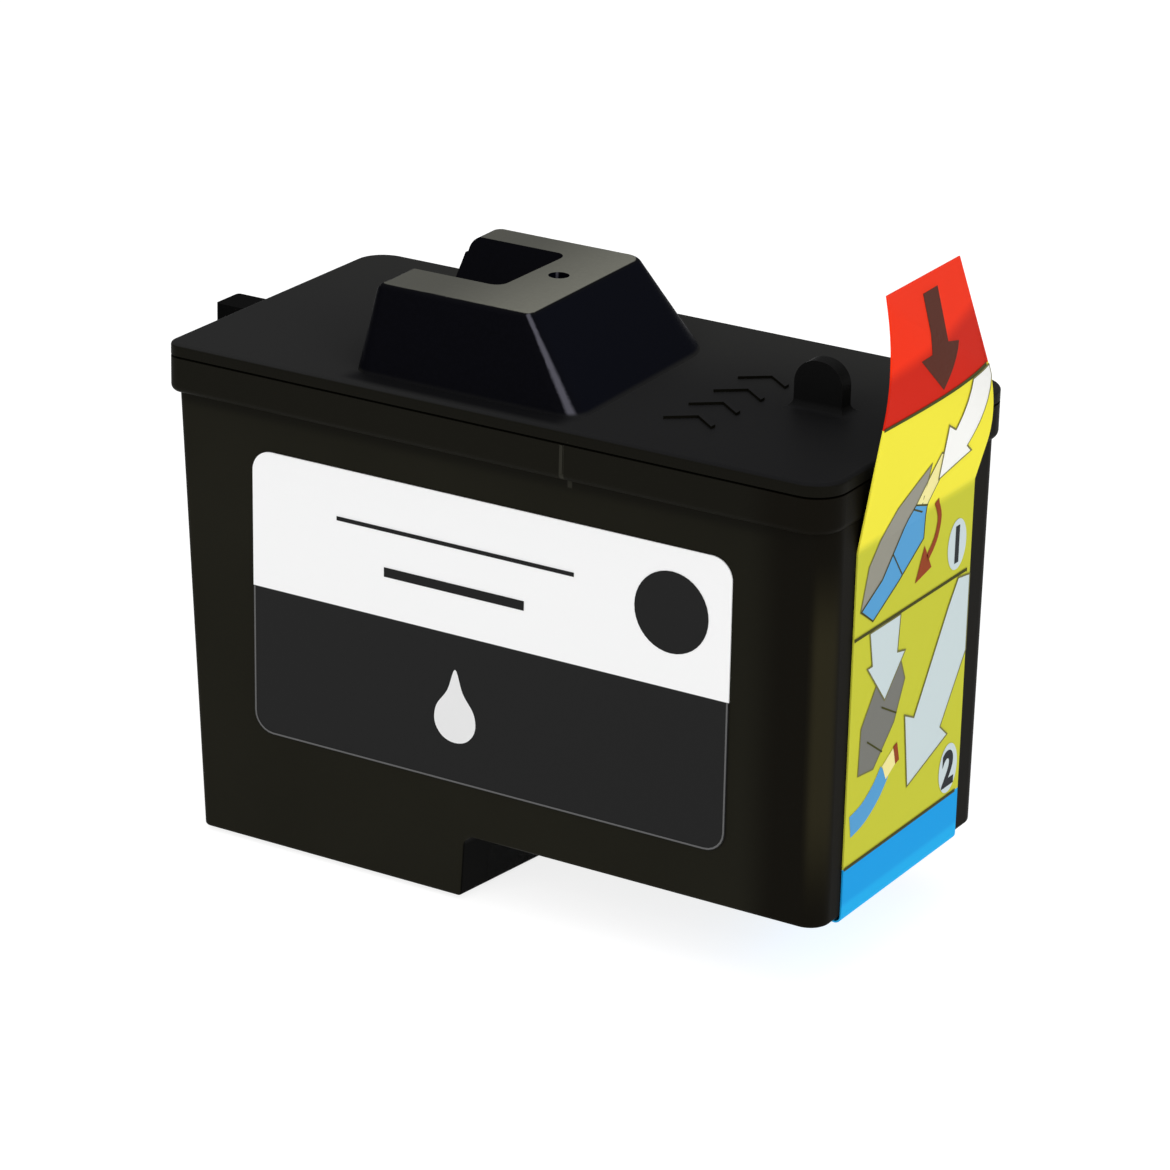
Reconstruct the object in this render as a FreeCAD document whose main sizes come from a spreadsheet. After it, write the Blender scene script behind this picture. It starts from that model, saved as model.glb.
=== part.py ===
"""An inkjet ink cartridge: housing with a print head in its snout, lid with a grip, foam, label and tape.

Model frame while building: x runs right from the lid's left edge, y back from its front edge, z up from
the snout's underside. The finished part stands on its origin, the middle of the taped face below the head.
"""
import FreeCAD, Part
import math
import os
import Sketcher

# Driving dimensions, in millimetres
SIZES = {
    # Lid plate
    "lid_length": 67.0,
    "lid_width": 33.6,
    "lid_thickness": 1.4,
    "lid_corner": 3.0,
    "lid_front_left_corner": 1.3,
    "lid_edge_round": 0.4,
    "seam_height": 0.2,
    "seam_depth": 0.5,
    # Housing
    "body_height": 39.6,
    "snout_drop": 6.05,
    "collar_height": 3.3,
    "collar_round": 0.7,
    "side_inset": 1.5,
    "side_draft": 0.55,
    "left_inset": 0.25,
    "left_draft": 2.1,
    "right_inset": 0.25,
    "body_corner": 2.0,
    "body_left_corner": 0.7,
    "foot_round": 0.35,
    "wall": 1.5,
    "floor_thickness": 1.6,
    "chamber_corner": 1.2,
    # Snout and the step beside it
    "snout_reach": 30.2,
    "step_skew": 0.12,
    "step_lean": 0.35,
    "step_round": 1.0,
    # Locating ear at the head end
    "ear_length": 5.3,
    "ear_width": 3.6,
    "ear_set_back": 0.2,
    "ear_thickness": 1.8,
    "ear_round": 0.35,
    # Short rib on the collar's front
    "front_rib_left": 41.1,
    "front_rib_width": 0.3,
    "front_rib_proud": 0.08,
    # Ink path: standpipe, well and slot
    "pipe_length": 16.0,
    "pipe_width": 9.0,
    "pipe_wall": 1.2,
    "pipe_height": 3.0,
    "pipe_corner": 1.6,
    "well_floor": 2.2,
    "filter_gauge": 0.3,
    "filter_margin": 0.25,
    "ink_slot_length": 10.0,
    "ink_slot_width": 1.0,
    # Ribs that stand the foam off the long walls
    "air_rib_depth": 0.8,
    "air_rib_width": 1.2,
    "air_rib_count": 6,
    "air_rib_end": 6.0,
    "air_rib_height": 30.0,
    # Foam
    "foam_gap": 0.2,
    "press_rib_drop": 4.0,
    "press_rib_width": 1.2,
    "press_rib_spacing": 9.0,
    "press_rib_end": 3.0,
    # Lid spigot
    "spigot_gap": 0.15,
    "spigot_wall": 1.2,
    "spigot_height": 1.6,
    # Grip: top outline, base outline, slot
    "grip_height": 6.7,
    "grip_to_mark": 5.5,
    "grip_left_undercut": 0.5,
    "grip_top_length": 16.0,
    "grip_base_length": 23.9,
    "grip_skew": 0.03,
    "grip_top_front": 7.5,
    "grip_base_front": 2.6,
    "grip_back_gap": 5.3,
    "grip_back_draft": 0.4,
    "grip_crown_corner": 1.0,
    "grip_crown_back_corner": 2.2,
    "grip_foot_corner": 2.1,
    "grip_foot_back_corner": 6.0,
    "grip_edge_round": 0.9,
    "grip_wall": 1.3,
    "grip_cavity_corner": 3.6,
    "grip_front_arm": 5.35,
    "grip_back_arm": 4.0,
    "grip_slot_reach": 9.4,
    "grip_slot_draft": 0.4,
    "grip_slot_lean_share": 0.47,
    "grip_slot_round": 1.2,
    "vent_radius": 0.95,
    "vent_from_slot": 2.5,
    # Upright tab
    "tab_right_gap": 7.9,
    "tab_width": 4.7,
    "tab_height": 4.5,
    "tab_forward": 0.2,
    "tab_thickness": 1.6,
    "tab_crown": 2.2,
    "tab_foot_round": 0.8,
    # Raised chevrons beside the tab
    "mark_to_tab": 7.5,
    "mark_forward": 9.5,
    "mark_width": 4.7,
    "mark_stroke": 0.7,
    "mark_point": 1.9,
    "mark_pitch": 4.3,
    "mark_count": 4,
    "mark_height": 0.25,
    # Print head
    "chip_length": 13.0,
    "chip_width": 4.6,
    "chip_gauge": 0.6,
    "chip_side_gap": 0.3,
    "bead_length": 0.8,
    "nozzle_gauge": 0.1,
    "adhesive_gauge": 0.1,
    # Flexible circuit and its contact pads
    "flex_gauge": 0.1,
    "flex_width": 19.0,
    "flex_set_back": 2.6,
    "flex_height": 27.0,
    "adhesive_margin": 0.4,
    "contact_gauge": 0.05,
    "contact_width": 1.5,
    "contact_height": 2.0,
    "contact_column_pitch": 2.3,
    "contact_row_pitch": 3.2,
    "contact_columns": 7,
    "contact_rows": 5,
    "contact_first_row": 9.5,
    # Sealing tape over head and contacts
    "tape_gauge": 0.1,
    "tape_ramp": 1.2,
    "tape_overrun": 4.0,
    # Printed pull sticker on the right end
    "sticker_gauge": 0.15,
    "sticker_front": 5.8,
    "sticker_back_gap": 6.3,
    "sticker_wrap": 9.0,
    "sticker_slack": 0.5,
    "front_crease_drop": 6.1,
    "front_elbow_out": 2.75,
    "front_elbow_rise": 10.5,
    "front_elbow_radius": 28.0,
    "front_tip_out": 1.55,
    "front_tip_rise": 16.7,
    "back_crease_drop": 5.8,
    "back_elbow_out": 1.95,
    "back_elbow_rise": 1.4,
    "back_elbow_radius": 12.0,
    "back_tip_out": -2.6,
    "back_tip_rise": 13.95,
    # Front label
    "label_left": 8.4,
    "label_right_gap": 9.6,
    "label_height": 27.2,
    "label_drop": 7.4,
    "label_corner": 2.0,
    "label_gauge": 0.12,
}
CLOSE = 1e-3  # two places nearer than this are the same


class Size:
    """A length that carries its number and the sheet expression that gives it."""

    def __init__(self, number, text):
        self.number = number
        self.text = text

    @staticmethod
    def of(value):
        return value if isinstance(value, Size) else Size(value, repr(value))

    def joined(self, other, sign, number):
        return Size(number, f"({self.text} {sign} {Size.of(other).text})")

    def __add__(self, other):
        return self.joined(other, "+", self.number + Size.of(other).number)

    def __sub__(self, other):
        return self.joined(other, "-", self.number - Size.of(other).number)

    def __mul__(self, other):
        return self.joined(other, "*", self.number * Size.of(other).number)

    def __truediv__(self, other):
        return self.joined(other, "/", self.number / Size.of(other).number)

    def __neg__(self):
        return Size(-self.number, f"(-{self.text})")


def root(value):
    return Size(math.sqrt(value.number), f"sqrt({value.text})")


def angle_of(slope):
    return Size(math.degrees(math.atan(slope.number)), f"atan({slope.text})")


def write_sheet(doc):
    """Puts every driving dimension in the sheet under its own alias."""
    sheet = doc.addObject("Spreadsheet::Sheet", "Sizes")
    for row, (alias, value) in enumerate(SIZES.items(), start=1):
        sheet.set(f"A{row}", alias.replace("_", " "))
        sheet.set(f"B{row}", str(value))
        sheet.setAlias(f"B{row}", alias)
    doc.recompute()
    return {alias: Size(float(sheet.get(alias)), f"Sizes.{alias}") for alias in SIZES}


class Places:
    """The sizes by name, and the heights and walls that more than one piece shares."""

    def __init__(self, sizes):
        self.__dict__.update(sizes)
        self.high_bottom = self.snout_drop
        self.rim = self.snout_drop + self.body_height
        self.collar_foot = self.rim - self.collar_height
        self.lid_top = self.rim + self.lid_thickness
        self.grip_top = self.lid_top + self.grip_height
        self.floor = self.high_bottom + self.floor_thickness
        self.pipe_top = self.floor + self.pipe_height
        self.foam_top = self.rim - self.press_rib_drop
        self.mid_width = self.lid_width / 2
        self.right_wall = self.lid_length - self.right_inset
        self.tab_left = self.lid_length - self.tab_right_gap - self.tab_width
        self.mark_left = self.tab_left - self.mark_to_tab
        self.grip_left = self.mark_left - self.grip_to_mark - self.grip_base_length
        self.grip_top_back = self.lid_width - self.grip_back_gap
        self.slot_front = self.grip_top_front + self.grip_front_arm
        self.slot_back = self.grip_top_back - self.grip_back_arm
        self.slot_lean = (self.slot_back - self.slot_front) * self.grip_slot_lean_share
        self.sticker_width = self.lid_width - self.sticker_front - self.sticker_back_gap
        self.left_slope = self.left_draft / self.collar_foot
        self.side_slope = self.side_draft / self.collar_foot
        self.snout_middle = (self.left_wall(Size.of(0.0)) + self.snout_reach) / 2
        self.flex_right = self.snout_reach - self.flex_set_back
        self.head_level = -(self.adhesive_gauge + self.flex_gauge)
        self.tape_level = self.head_level - self.contact_gauge
        self.lowest = self.tape_level - self.tape_gauge

    def left_wall(self, height):
        """x of the leaning left end at a height."""
        return self.left_inset + self.left_slope * (self.collar_foot - height)

    def front_wall(self, height):
        """y of the drafted front wall at a height."""
        return self.side_inset + self.side_slope * (self.collar_foot - height)

    def back_wall(self, height):
        return self.lid_width - self.front_wall(height)


def rectangle(left, front, right, back, corner=None):
    """Four corners, all with the same radius."""
    return [(left, front, corner), (right, front, corner), (right, back, corner), (left, back, corner)]


def housing_sides(at, height, inset):
    """Left, front, right and back of the drafted housing at a height, moved inward."""
    return (
        at.left_wall(height) + inset,
        at.front_wall(height) + inset,
        at.right_wall - inset,
        at.back_wall(height) - inset,
    )


def centred(middle_x, middle_y, length, width, corner=None):
    return rectangle(
        middle_x - length / 2, middle_y - width / 2, middle_x + length / 2, middle_y + width / 2, corner
    )


def new_body(doc, name):
    body = doc.addObject("PartDesign::Body", name)
    body.Label = name
    return body


def origin_feature(body, role):
    return next(item for item in body.Origin.OriginFeatures if item.Role == role)


def bind(item, path, size):
    """Ties one property of an object to the sheet."""
    item.setExpression(path, Size.of(size).text)


def body_sketch(body, name, plane, offset=0.0):
    """A sketch on an origin plane of its body, moved along the plane's normal."""
    sketch = body.newObject("Sketcher::SketchObject", name)
    sketch.AttachmentSupport = (origin_feature(body, plane), [""])
    sketch.MapMode = "FlatFace"
    bind(sketch, ".AttachmentOffset.Base.z", offset)
    return sketch


def section_sketch(doc, name, depth):
    """A free sketch in an x-z section at a depth y."""
    sketch = doc.addObject("Sketcher::SketchObject", name)
    sketch.Placement = FreeCAD.Placement(FreeCAD.Vector(), FreeCAD.Rotation(FreeCAD.Vector(1, 0, 0), 90))
    bind(sketch, ".Placement.Base.y", depth)
    return sketch


def constrain(sketch, kind, *where, size):
    """Adds one dimension to a sketch and ties it to the sheet."""
    index = sketch.addConstraint(Sketcher.Constraint(kind, *where, size.number))
    sketch.setExpression(f"Constraints[{index}]", size.text)


def place_point(sketch, geometry, position, across, up):
    constrain(sketch, "DistanceX", -1, 1, geometry, position, size=across)
    constrain(sketch, "DistanceY", -1, 1, geometry, position, size=up)


def corner_arc(before, corner, after, radius):
    """Where an arc of the radius leaves and joins the two sides at a corner, and the arc itself."""
    toward = (corner - before).normalize()
    away = (after - corner).normalize()
    turn = toward.getAngle(away)
    reach = radius * math.tan(turn / 2)
    first = corner - toward * reach
    last = corner + away * reach
    inward = (away - toward).normalize()
    centre = corner + inward * (radius / math.cos(turn / 2))
    middle = centre - inward * radius
    left_turn = toward.cross(away).z > 0
    ends = (first, last) if left_turn else (last, first)
    return first, last, Part.Arc(ends[0], middle, ends[1]), left_turn


def draw(sketch, corners, closed=True):
    """Draws straight sides through corners (across, up, radius), with an arc where a radius is given."""
    corners = [(Size.of(across), Size.of(up), radius) for across, up, radius in corners]
    spots = [FreeCAD.Vector(across.number, up.number, 0) for across, up, _ in corners]
    count = len(corners)
    starts = list(spots)
    ends = list(spots)
    arcs = {}
    for index, (_, _, radius) in enumerate(corners):
        if radius is not None:
            following = spots[(index + 1) % count]
            cut = corner_arc(spots[index - 1], spots[index], following, Size.of(radius).number)
            ends[index], starts[index], arcs[index] = cut[0], cut[1], cut[2:]
    marks = []
    for (across, up, _), spot in zip(corners, spots):
        mark = sketch.addGeometry(Part.Point(spot), True)
        place_point(sketch, mark, 1, across, up)
        marks.append(mark)
    sides = {}
    for index in range(count if closed else count - 1):
        line = Part.LineSegment(starts[index], ends[(index + 1) % count])
        sides[index] = sketch.addGeometry(line, False)
    for index, (_, _, radius) in enumerate(corners):
        incoming = sides.get((index - 1) % count)
        outgoing = sides.get(index)
        if radius is None:
            join_corner(sketch, marks[index], incoming, outgoing)
        else:
            round_corner(sketch, marks[index], incoming, outgoing, arcs[index], Size.of(radius))


def join_corner(sketch, mark, incoming, outgoing):
    if incoming is not None:
        sketch.addConstraint(Sketcher.Constraint("Coincident", incoming, 2, mark, 1))
    if outgoing is not None:
        sketch.addConstraint(Sketcher.Constraint("Coincident", outgoing, 1, mark, 1))


def round_corner(sketch, mark, incoming, outgoing, arc, radius):
    shape, left_turn = arc
    bend = sketch.addGeometry(shape, False)
    first, last = (1, 2) if left_turn else (2, 1)
    sketch.addConstraint(Sketcher.Constraint("PointOnObject", mark, 1, incoming))
    sketch.addConstraint(Sketcher.Constraint("PointOnObject", mark, 1, outgoing))
    sketch.addConstraint(Sketcher.Constraint("Tangent", incoming, 2, bend, first))
    sketch.addConstraint(Sketcher.Constraint("Tangent", bend, last, outgoing, 1))
    constrain(sketch, "Radius", bend, size=radius)


def draw_circle(sketch, across, up, radius):
    centre = FreeCAD.Vector(across.number, up.number, 0)
    circle = Part.Circle(centre, FreeCAD.Vector(0, 0, 1), radius.number)
    index = sketch.addGeometry(circle, False)
    place_point(sketch, index, 3, across, up)
    constrain(sketch, "Radius", index, size=radius)


def level_sketch(body, name, height, corners):
    """A closed outline in a level plane."""
    sketch = body_sketch(body, name, "XY_Plane", height)
    draw(sketch, corners)
    return sketch


def extrude(body, kind, name, sketch, length, reverse=False):
    feature = body.newObject(f"PartDesign::{kind}", name)
    feature.Profile = sketch
    feature.Reversed = reverse
    bind(feature, "Length", length)
    sketch.Visibility = False
    return feature


def drafted_box(body, kind, name, low, lower, high, upper):
    """A solid or a void with flat sides between the four sides at a low height and those at a high one."""
    feature = body.newObject(f"PartDesign::{kind}Wedge", name)
    feature.AttachmentSupport = (origin_feature(body, "XZ_Plane"), [""])
    feature.MapMode = "FlatFace"
    bind(feature, "Ymin", low)
    bind(feature, "Ymax", high)
    for level, (left, front, right, back) in (("", lower), ("2", upper)):
        bind(feature, f"X{level}min", left)
        bind(feature, f"X{level}max", right)
        bind(feature, f"Z{level}min", -back)
        bind(feature, f"Z{level}max", -front)
    return feature


def edge_names(shape, wanted):
    return [f"Edge{number}" for number, edge in enumerate(shape.Edges, start=1) if wanted(edge)]


def round_edges(body, name, wanted, radius):
    """Rounds those edges of the body so far that pass a test."""
    body.Document.recompute()
    base = body.Tip
    feature = body.newObject("PartDesign::Fillet", name)
    feature.Base = (base, edge_names(base.Shape, wanted))
    bind(feature, "Radius", radius)
    return feature


def at_height(height):
    """A test for edges that lie level at a height."""
    return spanning(height, height)


def spanning(low, high):
    """A test for edges that run from one height to another."""
    def test(edge):
        box = edge.BoundBox
        return abs(box.ZMin - low.number) < CLOSE and abs(box.ZMax - high.number) < CLOSE
    return test


def build_housing(doc, at):
    """One moulding: drafted box with a collar, a snout for the head, an ear and the ink path inside."""
    body = new_body(doc, "cartridge_body")
    zero = Size.of(0.0)
    drafted_box(
        body, "Additive", "drafted_walls", zero, housing_sides(at, zero, zero),
        at.rim, housing_sides(at, at.rim, zero),
    )
    rising = spanning(zero, at.rim)
    halfway = at.lid_length.number / 2
    for side, corner, on_left in (("left", at.body_left_corner, True), ("right", at.body_corner, False)):
        def wanted(edge):
            return rising(edge) and (edge.BoundBox.XMin < halfway) is on_left
        round_edges(body, f"{side}_corners", wanted, corner)
    join(body, build_collar(doc, at))
    cut_step(body, at)
    add_ear(body, at)
    add_front_rib(body, at)
    hollow_chamber(body, at)
    add_ink_path(body, at)
    add_air_ribs(body, at)
    round_edges(body, "foot_edges", foot_edge_test(at), at.foot_round)
    return body


def cut_step(body, at):
    """Takes away the corner beside the snout along a line askew to the back, which leaves the high bottom."""
    step = body_sketch(body, "step_section", "XZ_Plane")
    beyond = at.lid_length
    below = -at.snout_drop
    draw(step, [
        (at.snout_reach - at.step_lean, below, None),
        (beyond, below, None),
        (beyond, at.high_bottom, None),
        (at.snout_reach + at.step_lean, at.high_bottom, at.step_round),
    ])
    pocket = body.newObject("PartDesign::Pocket", "step_cut")
    pocket.Profile = step
    pocket.Type = "ThroughAll"
    pocket.Midplane = True
    pocket.UseCustomVector = True
    pocket.Direction = FreeCAD.Vector(at.step_skew.number, 1, 0)
    bind(pocket, ".Direction.x", at.step_skew)


def foot_edge_test(at):
    """The outer edges below and beside the step, without its smooth corner and the head's recess."""
    top = at.high_bottom.number + CLOSE
    reach = at.snout_reach + at.step_skew * at.lid_width + at.step_lean + at.step_round * 2
    inner = reach.number
    across = at.lid_width.number / 2
    margin = at.lid_width.number / 4

    def test(edge):
        box = edge.BoundBox
        smooth = box.YLength > across and box.XMax < inner and box.ZMin > CLOSE
        inside = box.YMin > margin and box.YMax < at.lid_width.number - margin
        return box.ZMax < top and not smooth and not inside
    return test


def join(body, other):
    """Fuses another body into this one."""
    feature = body.newObject("PartDesign::Boolean", f"{other.Label}_join")
    feature.addObject(other)
    feature.Type = "Fuse"
    body.Tip = feature


def build_collar(doc, at):
    """The band under the lid, rounded below before it joins the walls."""
    body = new_body(doc, "collar_band")
    zero = Size.of(0.0)
    outline = level_sketch(body, "collar_outline", at.collar_foot, lid_outline(at, zero))
    extrude(body, "Pad", "collar", outline, at.collar_height)
    round_edges(body, "collar_lower_edge", at_height(at.collar_foot), at.collar_round)
    return body


def add_ear(body, at):
    front = at.mid_width + at.ear_set_back - at.ear_width / 2
    back = front + at.ear_width
    outline = level_sketch(body, "ear_outline", at.rim - at.ear_thickness, [
        (-at.ear_length, front, at.ear_round),
        (at.wall, front, None),
        (at.wall, back, None),
        (-at.ear_length, back, at.ear_round),
    ])
    extrude(body, "Pad", "ear", outline, at.ear_thickness)


def add_front_rib(body, at):
    """A fine upright rib on the collar's front face."""
    outline = level_sketch(
        body, "front_rib_outline", at.collar_foot + at.collar_round,
        rectangle(
            at.front_rib_left, -at.front_rib_proud,
            at.front_rib_left + at.front_rib_width, at.side_inset + at.wall / 2,
        ),
    )
    extrude(body, "Pad", "front_rib", outline, at.collar_height - at.collar_round)


def hollow_chamber(body, at):
    drafted_box(
        body, "Subtractive", "chamber", at.floor, housing_sides(at, at.floor, at.wall),
        at.rim, housing_sides(at, at.rim, at.wall),
    )
    round_edges(body, "chamber_corners", spanning(at.floor, at.rim), at.chamber_corner)


def pipe_outline(at, inset):
    """The standpipe's outline above the snout, moved inward."""
    return centred(
        at.snout_middle, at.mid_width,
        at.pipe_length - inset * 2, at.pipe_width - inset * 2, at.pipe_corner - inset,
    )


def add_ink_path(body, at):
    """A standpipe on the chamber's floor, the well inside it and the slot down to the head."""
    outside = level_sketch(body, "pipe_outside", at.floor, pipe_outline(at, Size.of(0.0)))
    extrude(body, "Pad", "standpipe", outside, at.pipe_height)
    inside = level_sketch(body, "pipe_inside", at.pipe_top, pipe_outline(at, at.pipe_wall))
    extrude(body, "Pocket", "ink_well", inside, at.pipe_top - at.well_floor)
    recess = level_sketch(
        body, "chip_recess_outline", 0.0,
        centred(
            at.snout_middle, at.mid_width,
            at.chip_length + at.bead_length * 2, at.chip_width + at.chip_side_gap * 2,
        ),
    )
    extrude(body, "Pocket", "chip_recess", recess, at.chip_gauge, reverse=True)
    slot = level_sketch(
        body, "ink_slot_outline", at.chip_gauge,
        centred(at.snout_middle, at.mid_width, at.ink_slot_length, at.ink_slot_width),
    )
    extrude(body, "Pocket", "ink_slot", slot, at.well_floor - at.chip_gauge, reverse=True)


def air_rib_face(at):
    """y of the front ribs' faces, which the foam touches."""
    return at.front_wall(at.floor) + at.wall + at.air_rib_depth


def add_air_ribs(body, at):
    """Upright ribs on both long walls, which leave air beside the foam."""
    first = body_sketch(body, "air_rib_outline", "XY_Plane", at.floor)
    face = air_rib_face(at)
    root_line = at.front_wall(at.floor) + at.wall / 2
    left = at.left_wall(at.floor) + at.wall + at.air_rib_end
    right = left + at.air_rib_width
    draw(first, rectangle(left, root_line, right, face))
    draw(first, rectangle(left, at.lid_width - face, right, at.lid_width - root_line))
    rib = extrude(body, "Pad", "air_rib", first, at.air_rib_height)
    last = at.right_wall - at.wall - at.air_rib_end - at.air_rib_width
    repeat(body, "air_ribs", rib, first, at.air_rib_count, last - left)


def repeat(body, name, feature, sketch, count, reach, axis="H_Axis"):
    """A row of copies along an axis of the feature's own sketch, the last at the reach."""
    pattern = body.newObject("PartDesign::LinearPattern", name)
    pattern.Originals = [feature]
    pattern.Direction = (sketch, [axis])
    bind(pattern, "Occurrences", count)
    bind(pattern, "Length", reach)
    body.Tip = pattern
    return pattern


def lid_outline(at, inset):
    """The lid's outline moved inward, with the tighter corner at its front left."""
    left, front = inset, inset
    right, back = at.lid_length - inset, at.lid_width - inset
    corner = at.lid_corner - inset
    return [
        (left, front, at.lid_front_left_corner - inset),
        (right, front, corner),
        (right, back, corner),
        (left, back, corner),
    ]


def build_lid(doc, at):
    """One moulding: plate, spigot, ribs, hollow grip with slot and vent, upright tab and raised mark."""
    body = new_body(doc, "lid")
    seat = level_sketch(body, "seat_outline", at.rim, lid_outline(at, at.seam_depth))
    extrude(body, "Pad", "seat", seat, at.seam_height)
    zero = Size.of(0.0)
    plate = level_sketch(body, "plate_outline", at.rim + at.seam_height, lid_outline(at, zero))
    extrude(body, "Pad", "plate", plate, at.lid_thickness - at.seam_height)
    round_edges(body, "plate_top_edge", at_height(at.lid_top), at.lid_edge_round)
    add_grip(body, at)
    add_tab(body, at)
    add_mark(body, at)
    add_spigot(body, at)
    add_press_ribs(body, at)
    return body


def grip_outline(at, top):
    """The grip's outline at its crown or foot: both ends run askew, the back right corner opens out below."""
    if top:
        left, right = at.grip_left, at.grip_left + at.grip_top_length
        front, back = at.grip_top_front, at.grip_top_back
        corner, back_corner = at.grip_crown_corner, at.grip_crown_back_corner
    else:
        left, right = at.grip_left + at.grip_left_undercut, at.grip_left + at.grip_base_length
        front, back = at.grip_base_front, at.grip_top_back + at.grip_back_draft
        corner, back_corner = at.grip_foot_corner, at.grip_foot_back_corner
    slip = at.grip_skew * front
    back_slip = at.grip_skew * back
    return [
        (left - slip, front, corner),
        (right - slip, front, corner),
        (right - back_slip, back, back_corner),
        (left - back_slip, back, corner),
    ]


def cavity_sides(at, top):
    """Left, front, right and back of the grip's cavity at its roof or foot."""
    wall = at.grip_wall
    left = at.grip_left + at.grip_left_undercut - at.grip_skew * at.grip_base_front + wall
    if top:
        right, front, back = at.grip_top_length, at.grip_top_front, at.grip_top_back
    else:
        right, front, back = at.grip_base_length, at.grip_base_front, at.grip_top_back
    return left, front + wall, at.grip_left + right - at.grip_skew * back - wall, back - wall


def slot_sides(at, top, outset, overrun):
    """The sides of the grip's slot at its top or foot, where the back side leans in, grown outward."""
    draft = Size.of(0.0) if top else at.grip_slot_draft
    lean = Size.of(0.0) if top else at.slot_lean
    growth = outset - draft
    return (
        at.grip_left - at.grip_skew * at.grip_top_back - overrun,
        at.slot_front - growth,
        at.grip_left + at.grip_slot_reach + growth,
        at.slot_back - lean + outset,
    )


def round_slot(body, at, name, low, high, outset):
    """Rounds the slot's two inner corners between two heights."""
    rising = spanning(low, high)
    halfway = at.grip_left.number + at.grip_slot_reach.number / 2
    end = at.grip_left.number + at.grip_slot_reach.number + outset.number + CLOSE

    def inner(edge):
        box = edge.BoundBox
        return rising(edge) and box.XMin > halfway and box.XMax < end
    round_edges(body, f"{name}_corners", inner, at.grip_slot_round + outset)


def add_grip(body, at):
    """A hollow U-shaped grip: outer form, cavity from below, slot walls and the slot between them."""
    zero = Size.of(0.0)
    roof = at.grip_top - at.grip_wall
    wall = at.grip_wall
    overrun = at.grip_edge_round
    foot = level_sketch(body, "grip_foot", at.lid_top, grip_outline(at, False))
    crown = level_sketch(body, "grip_crown", at.grip_top, grip_outline(at, True))
    form = body.newObject("PartDesign::AdditiveLoft", "grip_outside")
    form.Profile = foot
    form.Sections = [crown]
    form.Ruled = True
    foot.Visibility = False
    crown.Visibility = False
    round_edges(body, "grip_edges", at_height(at.grip_top), at.grip_edge_round)
    drafted_box(
        body, "Subtractive", "grip_cavity",
        at.rim, cavity_sides(at, False), roof, cavity_sides(at, True),
    )
    round_cavity(body, at, roof)
    drafted_box(
        body, "Additive", "slot_walls",
        at.rim, slot_sides(at, False, wall, zero), roof, slot_sides(at, True, wall, zero),
    )
    round_slot(body, at, "slot_walls", at.rim, roof, wall)
    drafted_box(
        body, "Subtractive", "grip_slot",
        at.lid_top, slot_sides(at, False, zero, overrun), at.grip_top, slot_sides(at, True, zero, overrun),
    )
    round_slot(body, at, "slot", at.lid_top, at.grip_top, zero)
    vent = body_sketch(body, "vent_outline", "XY_Plane", at.grip_top)
    slot_middle = (at.slot_front + at.slot_back) / 2
    draw_circle(
        vent, at.grip_left + at.grip_slot_reach + at.vent_from_slot, slot_middle, at.vent_radius
    )
    extrude(body, "Pocket", "vent", vent, at.grip_wall * 2)


def round_cavity(body, at, roof):
    """Rounds the cavity's back right corner, inside the grip's own wide corner."""
    rising = spanning(at.rim, roof)
    right = at.grip_left.number + at.grip_top_length.number / 2

    def back_right(edge):
        box = edge.BoundBox
        return rising(edge) and box.XMin > right and box.YMin > at.mid_width.number
    round_edges(body, "cavity_corner", back_right, at.grip_cavity_corner)


def add_tab(body, at):
    """The upright tab with a round head and a filleted foot."""
    tab_front = at.mid_width - at.tab_forward
    sketch = body_sketch(body, "tab_section", "XZ_Plane", -tab_front)
    right = at.tab_left + at.tab_width
    top = at.lid_top + at.tab_height
    foot = at.lid_top - at.lid_thickness / 2
    draw(sketch, [
        (at.tab_left, foot, None),
        (right, foot, None),
        (right, top, at.tab_crown),
        (at.tab_left, top, at.tab_crown),
    ])
    extrude(body, "Pad", "tab", sketch, at.tab_thickness, reverse=True)
    level = at_height(at.lid_top)
    left = at.tab_left.number - CLOSE
    reach = right.number + CLOSE

    def foot_edge(edge):
        box = edge.BoundBox
        beside = box.XMin > left and box.XMax < reach
        return level(edge) and beside and box.YMin > tab_front.number - CLOSE
    round_edges(body, "tab_foot", foot_edge, at.tab_foot_round)


def add_mark(body, at):
    """A row of raised chevrons between the grip and the tab, which point to the back."""
    front = at.mid_width - at.mark_forward
    stroke = front + at.mark_stroke
    left = at.mark_left
    middle = left + at.mark_width / 2
    right = left + at.mark_width
    sketch = level_sketch(body, "mark_outline", at.lid_top - at.mark_height, [
        (left, front, None),
        (middle, front + at.mark_point, None),
        (right, front, None),
        (right, stroke, None),
        (middle, stroke + at.mark_point, None),
        (left, stroke, None),
    ])
    chevron = extrude(body, "Pad", "chevron", sketch, at.mark_height * 2)
    reach = at.mark_pitch * (at.mark_count - 1)
    repeat(body, "chevrons", chevron, sketch, at.mark_count, reach, axis="V_Axis")


def add_spigot(body, at):
    """The skirt that seats inside the chamber's mouth."""
    sketch = body_sketch(body, "spigot_outline", "XY_Plane", at.rim)
    outer = at.wall + at.spigot_gap
    inner = outer + at.spigot_wall
    draw(sketch, rectangle(*housing_sides(at, at.rim, outer), at.chamber_corner - at.spigot_gap))
    draw(sketch, rectangle(*housing_sides(at, at.rim, inner)))
    extrude(body, "Pad", "spigot", sketch, at.spigot_height, reverse=True)


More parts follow.
